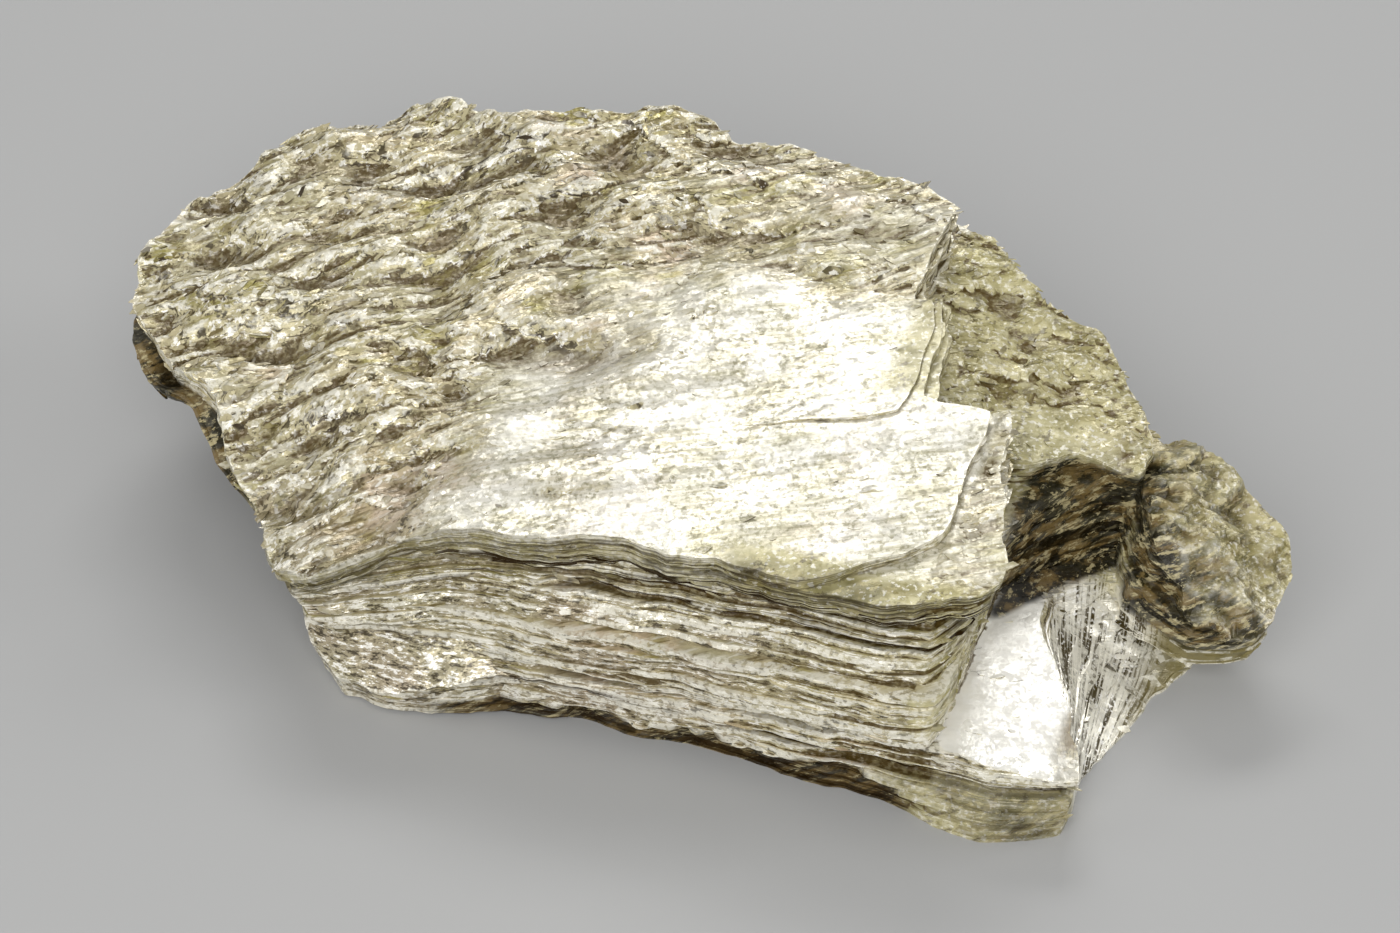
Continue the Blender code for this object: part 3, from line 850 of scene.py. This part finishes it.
def muscovite():
    """Muscovite, split and torn: cleavage faces mirror like a pearl, breaks are dull and brown.

    Each packet of sheets reflects a little, which together is far more than one face does,
    so part of the reflection is made metallic. Patterns are in millimetres. Single sheets are
    a few hundredths of a millimetre thick, too fine to show, so the lines of the broken sides
    are drawn as packets 0.1 to 0.3 mm thick, and flecks and grit 0.3 to 0.8 mm wide.
    """
    material = bpy.data.materials.new("muscovite_cleaved")
    material.use_nodes = True
    tree = material.node_tree
    shader = tree.nodes["Principled BSDF"]
    add, math_of, vector_of, times = adders(tree)

    def scaled(vector, amount):
        return add("ShaderNodeVectorMath", {0: vector, "Scale": amount}, operation="SCALE")

    def mapped(value, low, high, to_low=0, to_high=1):
        return add("ShaderNodeMapRange", {
            "Value": value, "From Min": low, "From Max": high, "To Min": to_low, "To Max": to_high,
        }, "Result", interpolation_type="SMOOTHSTEP")

    def layered(colour, *layers):
        """A colour under layers of others, each as dense as its factor says."""
        for factor, over in layers:
            a, b = (linear(c) if isinstance(c, str) else c for c in (colour, over))
            colour = add("ShaderNodeMix", {0: factor, 6: a, 7: b}, 2, data_type="RGBA")
        return colour

    def stored(name, output="Fac"):
        return add("ShaderNodeAttribute", (), output, attribute_name=name)

    def cloud(vector, size, detail=2, rough=0.5):
        return add("ShaderNodeTexNoise", {
            "Vector": vector, "Scale": 1 / size, "Detail": detail, "Roughness": rough,
        }, "Fac")

    def turned(degrees, axis):
        return add("ShaderNodeVectorRotate", {
            "Vector": at, "Angle": math.radians(degrees),
        }, rotation_type=axis)

    at = scaled(add("ShaderNodeTexCoord", (), "Object"), 1 / MM)
    split = node(tree, "ShaderNodeSeparateXYZ", {0: at}).outputs
    normal = add("ShaderNodeNewGeometry", (), "Normal")
    face = mapped(add("ShaderNodeSeparateXYZ", {0: normal}, "Z"), 0.8, 0.97)
    crumple, lamina, shade, olive, band, dent, hollow, sheet, fanned = map(
        stored, ("crumple", "lamina", "shade", "olive", "band", "dent", "hollow", "sheet", "fan"),
    )
    smooth = math_of("SUBTRACT", 1, crumple)
    raised = times(dent, -1)

    # Patterns that follow the sheets, the streaks of the smooth cleavage and the creases
    along_sheet = add("ShaderNodeCombineXYZ", {
        0: times(split[0], 0.08), 1: times(split[1], 0.08), 2: times(sheet, 4.5),
    })
    lines = cloud(along_sheet, 0.7, 4, 0.7)
    crumbs = cloud(vector_of("MULTIPLY", along_sheet, (9, 9, 0.55)), 0.9, 3, 0.75)
    blotch = cloud(at, 7, 3)
    speck = cloud(at, 0.45, 2)
    streaked = vector_of("MULTIPLY", turned(-22, "Z_AXIS"), (0.1, 1, 0.3))
    streak = cloud(streaked, 0.5, 4, 0.62)
    creased = vector_of("MULTIPLY", stored("creased", "Vector"), (0.16, 1, 0.5))
    crease = cloud(creased, 0.75, 4, 0.65)
    climb = vector_of("MULTIPLY", turned(28, "Y_AXIS"), (0.16, 0.4, 1))
    bits = cloud(climb, 0.5, 4, 0.75)
    fibred = vector_of("MULTIPLY", stored("rays", "Vector"), (0.05, 1, 1))
    fibre = cloud(fibred, 0.5, 3, 0.6)

    # Cleavage faces: silvery and stained; along the creases pale crests are painted highlight and brown
    # troughs painted shade, pale streaks on the smooth cleavage are partly painted sheen, and the nearly
    # white patches are painted reflection
    moss = times(mapped(cloud(at, 5), 0.5, 0.72), mapped(crumple, 0, 0.6, 0.35, 1))
    clean = times(mapped(cloud(at, 6, 4), 0.46, 0.58, 0, 0.45), smooth)
    clean = math_of("MAXIMUM", clean, stored("clean"))
    grit = times(mapped(cloud(at, 0.5, 4, 0.65), 0.5, 0.6, 0, 0.85), smooth)
    pale = layered(
        "#C4B892",
        (mapped(blotch, 0.35, 0.65), "#A9A17F"),
        (mapped(cloud(at, 11), 0.5, 0.7), "#C4AF94"),
        (moss, "#A09653"),
        (mapped(crumple, 0.5, 0, 0, 0.5), "#D3D0C2"),
        (times(mapped(crease, 0.53, 0.64), crumple, 0.55), "#F0EDE2"),
        (times(mapped(crease, 0.47, 0.36), crumple, 0.85), "#6C5C30"),
        (times(mapped(streak, 0.44, 0.6), smooth, 0.6), "#F0EDE2"),
        (times(mapped(streak, 0.44, 0.36), smooth, 0.6), "#8F8966"),
        (times(clean, 0.9), "#F6F4EC"),
        (times(grit, math_of("SUBTRACT", 1, clean)), "#8F8A6C"),
    )
    # Broken sides: a line for each packet of sheets, with white and black crumbs between; the white crumbs
    # are partly painted glints
    torn = layered(
        "#A39B7C",
        (mapped(blotch, 0.35, 0.65), "#A1937B"),
        (lamina, layered("#3A2C12", (mapped(lines, 0.39, 0.48), "#BFB58F"))),
        (mapped(crumbs, 0.54, 0.6, 0, 0.9), "#FBF8EE"),
        (mapped(crumbs, 0.47, 0.39, 0, 0.9), "#33280F"),
    )
    # The fan: white fibres along its rays, browner at its far end; the white fibres and specks are partly
    # painted glints
    rayed = layered(
        "#4A4022",
        (mapped(fibre, 0.43, 0.55), "#EFEBDC"),
        (mapped(cloud(at, 0.3, 2), 0.54, 0.64, 0, 0.8), "#FFFDF6"),
        (mapped(split[0], 42, 46), "#8A8055"),
    )
    # Olive places, as the brow, the corner, the toe and the shoulder
    green = layered(
        "#BDB586",
        (mapped(cloud(at, 3), 0.4, 0.65), "#8D8550"),
        (mapped(speck, 0.56, 0.66, 0, 0.85), "#EAE7D8"),
        (mapped(cloud(climb, 0.6, 4, 0.7), 0.45, 0.36, 0, 0.8), "#4A3E1A"),
    )
    # Painted shade for the hollow, the undercut, the left rim and the lobe: nearly black, with brown and
    # pale bits, dents darker as painted shade and ridges paler as painted highlight
    ridge = times(mapped(raised, 0.04, 0.16), mapped(bits, 0.48, 0.56, 0.1, 0.75),
                  mapped(lamina, 0.2, 0.6, 1, 0.25))
    dark = layered(
        "#050300",
        (mapped(cloud(climb, 1.3, 5, 0.7), 0.46, 0.58), "#6B5833"),
        (mapped(bits, 0.54, 0.6, 0, 0.9), "#AB9F78"),
        (mapped(dent, 0.04, 0.16, 0, 0.75), "#0A0602"),
        (ridge, "#C9BE96"),
    )
    patchy = mapped(math_of("ADD", shade, math_of("SUBTRACT", blotch, 0.5)), 0.15, 0.85)
    patchy = times(patchy, mapped(shade, 0, 0.3))

    # Raised edges are pale, partly in tone and partly as painted highlight; dents and wide hollows are
    # brown, partly dirt and partly painted shade; the recess under the crown, the cracks and the undercut
    # are dark as painted shade
    edge = times(mapped(raised, 0.02, 0.09, 0, 0.75), mapped(olive, 0.3, 1, 1, 0.2),
                 mapped(speck, 0.4, 0.52, 0.3, 1))
    brown = math_of("MAXIMUM", mapped(dent, 0.015, 0.09), mapped(hollow, 0.05, 0.5, 0, 0.9))
    brown = times(brown, mapped(speck, 0.3, 0.6, 0.6, 1), mapped(crumple, 0, 0.5, 0.35, 1),
                  mapped(lamina, 0.1, 0.7, 0.3, 1), mapped(fanned, 0, 1, 1, 0.15))
    waver = times(math_of("SUBTRACT", speck, 0.5), 0.9)
    # Painted shade along the front's two long cracks
    there = times(stored("cracked"), mapped(cloud(at, 9, 3), 0.36, 0.46))
    for name, width, strength in (("high_crack", 0.3, 0.75), ("low_crack", 0.42, 0.95)):
        off = math_of("ABSOLUTE", math_of("ADD", waver, stored(name)))
        line = times(mapped(off, width, 0.4 * width), times(there, strength))
        band = math_of("MAXIMUM", band, line)
    seam = times(band, mapped(lines, 0.46, 0.56, 1, 0.15))
    colour = layered(
        torn,
        (face, pale),
        (fanned, rayed),
        (math_of("MINIMUM", times(olive, 0.75), 1), green),
        (edge, "#F1EDDD"),
        (brown, "#55441D"),
        (times(patchy, 0.94), dark),
        (math_of("MINIMUM", seam, 1), "#2A1C08"),
    )

    # Every flake and every grain mirrors in its own direction
    flecks, grains = (
        add("ShaderNodeTexVoronoi", {"Vector": at, "Scale": 1 / size}, "Color")
        for size in (0.8, 0.33)
    )
    tilt = vector_of("SUBTRACT", vector_of("ADD", flecks, grains), (1, 1, 1))
    tilt = scaled(tilt, mapped(crumple, 0, 0.6, 0.13, 0.24))
    relief = math_of("ADD", times(lines, times(lamina, 0.6)),
                     times(crease, mapped(crumple, 0, 0.6, 0.15, 1)))
    bump = add("ShaderNodeBump", {
        "Height": relief, "Strength": 0.5, "Distance": 0.0003,
        "Normal": vector_of("NORMALIZE", vector_of("ADD", normal, tilt)),
    })
    dull = math_of("MAXIMUM", shade, times(band, 0.9))
    dull = math_of("MAXIMUM", dull, times(olive, 0.5))
    for label, value in (
        ("Base Color", colour), ("Normal", bump),
        ("Roughness", mapped(blotch, 0.3, 0.7, 0.22, 0.38)),
        ("Metallic", mapped(dull, 0, 1, 0.25, 0)),
        ("Specular IOR Level", mapped(dull, 0, 1, 0.5, 0.08)),
    ):
        tree.links.new(value, shader.inputs[label])
    shader.inputs["IOR"].default_value = 1.6
    return material


def paper():
    """Matt card: no gloss, so the floor shows only soft shadows."""
    material = bpy.data.materials.new("studio_floor_card")
    material.use_nodes = True
    shader = material.node_tree.nodes["Principled BSDF"]
    shader.inputs["Base Color"].default_value = linear("#A7A7A6")
    shader.inputs["Roughness"].default_value = 0.7
    return material


# ---- the crystal


def crystal():
    """The visible pieces of the crystal, each with how crumpled its cleavage faces are.

    The last of each row tells where along X those faces lie open to the air.
    """
    front = {
        "lamination": front_lamination, "breaks": front_breaks, "jut": 0.9, "sheets": 0.45,
        "cracks": 0.8,
    }
    base = book("book_of_sheets", BASE_BROW, BASE_FOOT, BASE, 5, 1.3, top=ledge_detail, **front)
    middle = book("middle", MIDDLE_BROW, MIDDLE_FOOT, MIDDLE, 5, 5.9, grid=HIDDEN_GRID, **front)
    upper = book("upper", UPPER_BROW, UPPER_FOOT, UPPER, 5, 9.2, grid=HIDDEN_GRID, **front)
    nodule = book(
        "nodule", NODULE_BROW, NODULE_FOOT, NODULE, 2, 19.3, top=nodule_detail, sheets=0.12,
        cracks=0, lamination=0.2,
    )
    combine(base, "UNION", [middle, upper, nodule])
    crown_foot = drawn_in(CROWN_BROW, 1.1)
    crown_side = {"jut": 0.6, "sheets": 0.4, "cracks": 0.35, "jag": 1.1}
    crown = book(
        "crown_sheets", CROWN_BROW, crown_foot, CROWN, 3, 12.7, top=crown_detail, **crown_side
    )
    for name, outline, lift, seed, fade in (
        ("cover", COVER_OUTLINE, COVER_LIFT, 21.4, 0),
        ("patch", PATCH_OUTLINE, PATCH_LIFT, 22.8, 0.6),
    ):
        within = column(name + "_rim", CROWN_BROW, crown_foot, CROWN, 3, 12.7, **crown_side)
        sheet = cover_sheet(name, outline, lift, seed, fade)
        combine(crown, "UNION", [combine(sheet, "INTERSECT", [within])])
    shoulder = book(
        "shoulder_and_lobe", SHOULDER_BROW, drawn_in(SHOULDER_BROW, 0.8), SHOULDER, 3, 15.1,
        top=shoulder_detail, fall=0.2, fall_from=14, cracks=0.4, jag=1,
    )
    lobe = book(
        "lobe", LOBE_BROW, LOBE_FOOT, LOBE, 4, 17.6, jut=1.6, top=lobe_detail, jag=1.1,
        sheets=0.3, fall=0.3, fall_from=38, cracks=1.5, lamination=0.15,
    )
    combine(shoulder, "UNION", [lobe])
    return (
        (base, lambda x, y: 1 - 0.93 * ramp(x, 27, 28) * ramp(-y, 1, 3), lambda x: ramp(x, 26, 28)),
        (crown, crumpled, np.ones_like),
        (
            shoulder, lambda x, y: 1 - 0.85 * facet(x, y),
            lambda x: ramp(x, 12, 14) * (1 - 0.7 * ramp(x, 35, 38)),
        ),
    )


def cover_sheet(name, outline, lift, seed, fade):
    """What is left of a sheet on the crown, crumpled as the crown is.

    fade lets the sheet merge into the one below it towards its front and left.
    """

    def above(x, y):
        merged = fade * (1 - ramp(x + 0.9 * y, -8, 14))
        return CROWN[1] * sheet_height(x, y) + lift - merged + crown_detail(x, y)

    def below(x, y):
        return CROWN[1] * sheet_height(x, y) - 1.6

    span = (CROWN[1] - 0.06, CROWN[1] + lift / FRONT_HEIGHT)
    piece = column(name, outline, outline, span, 1, seed, jag=0.5, jut=0, sheets=0.2, cracks=0)
    return combine(piece, "INTERSECT", [slab(name + "_slab", outline, above, below)])


def look_at(item, place, aim):
    """Stands a light or a camera at a place and turns it towards another."""
    bpy.context.scene.collection.objects.link(item)
    item.location = place
    item.rotation_mode = "QUATERNION"
    item.rotation_quaternion = (Vector(aim) - Vector(place)).to_track_quat("-Z", "Y")


def studio():
    """A pale card floor, softboxes all round and the camera, in metres."""
    floor = solid("studio_floor", [(-3, -3, 0), (3, -3, 0), (3, 3, 0), (-3, 3, 0)], [(0, 1, 2, 3)])
    floor.data.materials.append(paper())
    for name, place, size, power, aim_height in (
        ("softbox_behind", (-0.3, 0.46, 0.58), (0.28, 0.2), 1.15, 0.01),
        ("softbox_ledge", (-0.11, 0.57, 0.55), (0.22, 0.17), 1.05, 0.01),
        ("softbox_front", (0.14, -0.66, 0.5), (0.8, 0.5), 6.5, 0.01),
        ("softbox_right", (0.6, 0.34, 0.32), (0.3, 0.3), 1.5, 0.01),
        ("softbox_left", (-0.7, -0.2, 0.36), (0.5, 0.5), 0.8, 0.01),
        ("softbox_above", (0.1, 0, 0.9), (0.9, 0.9), 0.9, 0),
    ):
        light = bpy.data.lights.new(name, "AREA")
        light.shape = "RECTANGLE"
        light.size, light.size_y = size
        light.energy = power
        look_at(bpy.data.objects.new(name, light), place, (0, 0, aim_height))
    world = bpy.data.worlds.new("studio_walls")
    world.use_nodes = True
    world.node_tree.nodes["Background"].inputs["Color"].default_value = linear("#D9DADC")
    world.node_tree.nodes["Background"].inputs["Strength"].default_value = 0.31
    bpy.context.scene.world = world
    bpy.context.scene.view_settings.view_transform = "Standard"

    view = bpy.data.cameras.new("camera")
    view.lens = 90
    view.sensor_width = 36
    view.clip_start, view.clip_end = 0.01, 20
    camera = bpy.data.objects.new("camera", view)
    level = math.cos(CAMERA_TILT)
    back = Vector((
        math.sin(CAMERA_TURN) * level, -math.cos(CAMERA_TURN) * level, math.sin(CAMERA_TILT),
    ))
    target = Vector((-PLAN_MIDDLE[0], -PLAN_MIDDLE[1], AIM_HEIGHT)) * MM
    look_at(camera, target + back * CAMERA_AWAY, target)
    bpy.context.scene.camera = camera


studio()
mica = muscovite()
lying = flake_nodes("flakes_lying_on_cleavage", False)
sticking = flake_nodes("flakes_sticking_out_of_sides", True)
pieces = []
for piece, crumple, open_to_air in crystal():
    sweep(piece.data)
    describe(piece.data, crumple, open_to_air)
    pieces.append(piece)
    pieces.append(flakes(
        piece.name + "_flakes", piece, lying, mica, Density=1.3 / COARSE**2,
        Shortest_mm=0.35, Longest_mm=2.2, Slimness=0.38, Lean=0.15, Turn=0.4, Seed=5,
    ))
    pieces.append(flakes(
        piece.name + "_slivers", piece, sticking, mica, Density=0.5 / COARSE**2,
        Shortest_mm=0.5, Longest_mm=3, Slimness=0.2, Lean=0.04, Turn=0.12, Seed=9,
    ))
for piece in pieces:
    facets(piece.data)
    settle(piece)
    piece.data.materials.clear()
    piece.data.materials.append(mica)
    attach(piece, "root")
    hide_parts(NODE)
